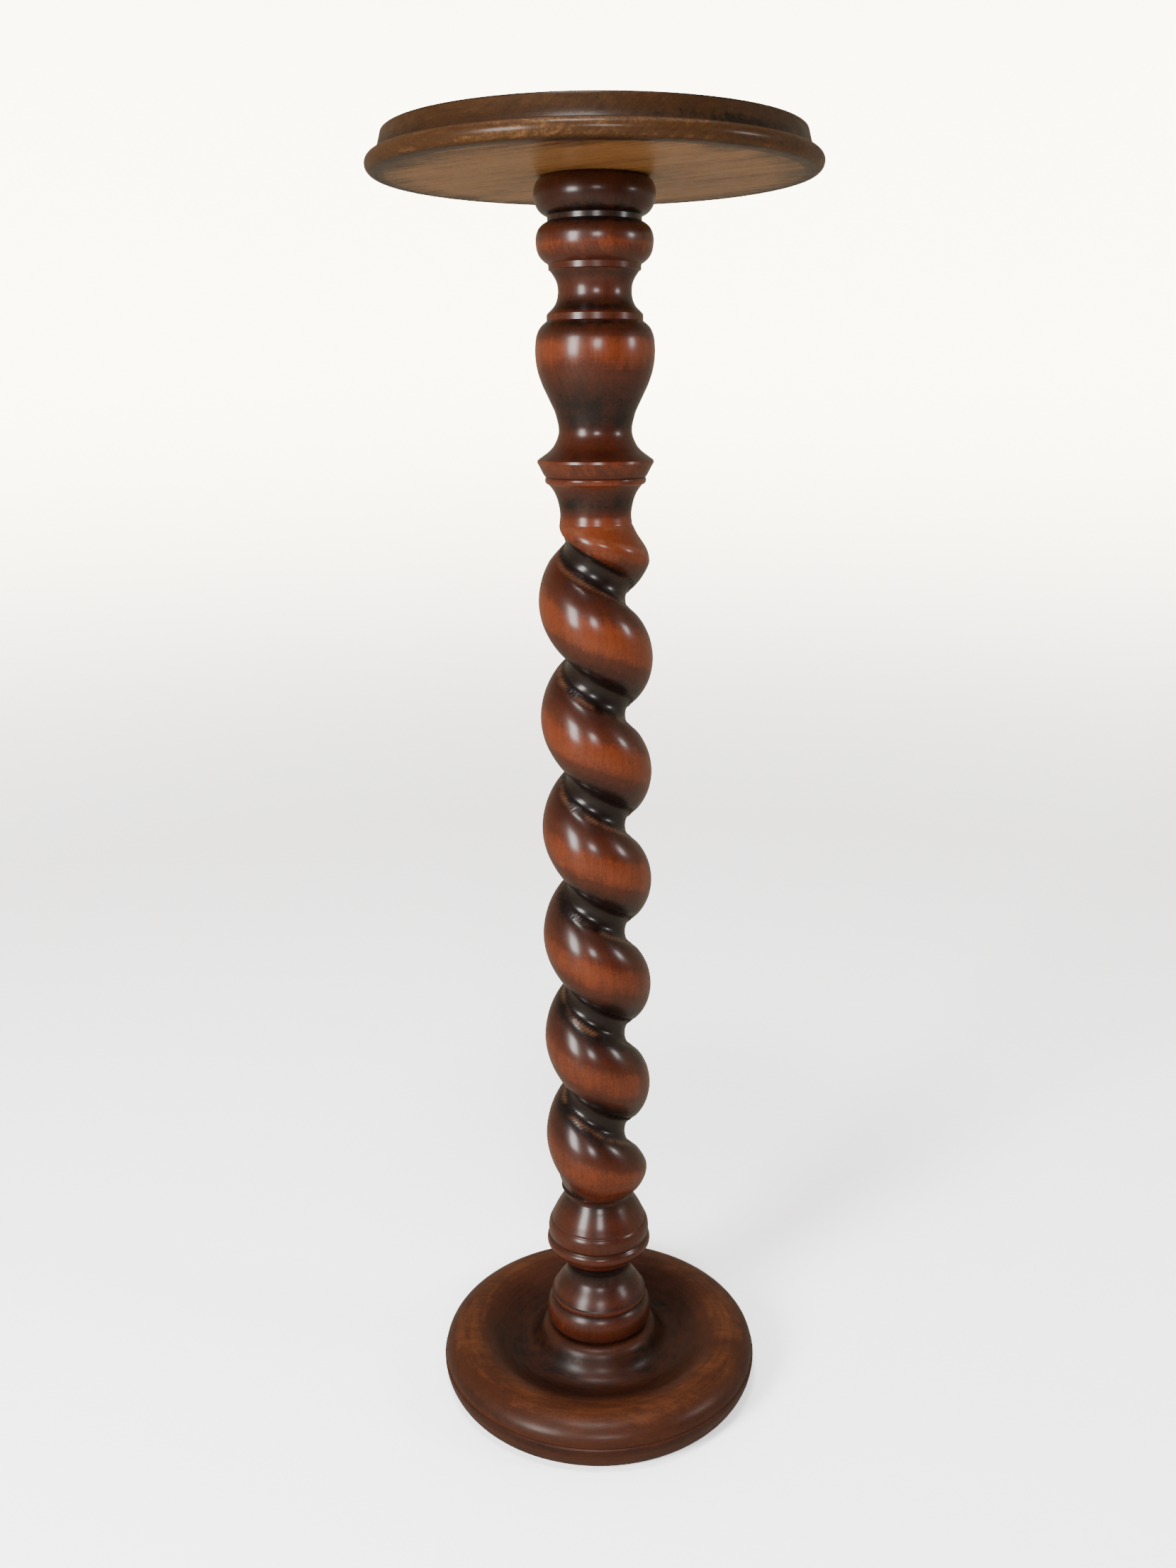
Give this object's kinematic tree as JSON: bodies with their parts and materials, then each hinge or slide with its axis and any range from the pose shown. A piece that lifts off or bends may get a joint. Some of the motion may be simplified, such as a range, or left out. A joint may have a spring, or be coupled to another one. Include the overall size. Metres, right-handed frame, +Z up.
{
  "type": "pedestal stand",
  "caption": "Tall wooden pedestal stand with a round moulded top, a single-spiral turned column and a round dished base, for a plant or an ornament.",
  "frame": {"origin": "on the floor, under the axis of the column", "axes": "+Z up along the column; -Y is the front; X runs left to right along the boards of the top"},
  "size_m": [0.3194, 0.3194, 1],
  "materials": {
    "turned_wood": "gloss lacquer over a red-brown stain, darker in the hollows",
    "board_wood": "gloss lacquer over a red-brown stain",
    "base_wood": "satin lacquer over a red-brown stain, darker in the dish",
    "dowel_wood": "bare beech",
    "brass": "plain",
    "steel": "zinc plated"
  },
  "bodies": {
    "root": {"top_board_front": "board_wood", "top_board_back": "board_wood", "top_edge_dowels": "dowel_wood", "top_threaded_insert": "brass", "top_hanger_bolt": "steel", "capital_turning": "turned_wood", "collar_dowel": "dowel_wood", "twist_shaft": "turned_wood", "foot_dowel": "dowel_wood", "foot_turning": "turned_wood", "base_board_front": "base_wood", "base_board_back": "base_wood", "base_edge_dowels": "dowel_wood", "base_washer": "steel", "base_coach_screw": "steel"}
  },
  "joints": []
}
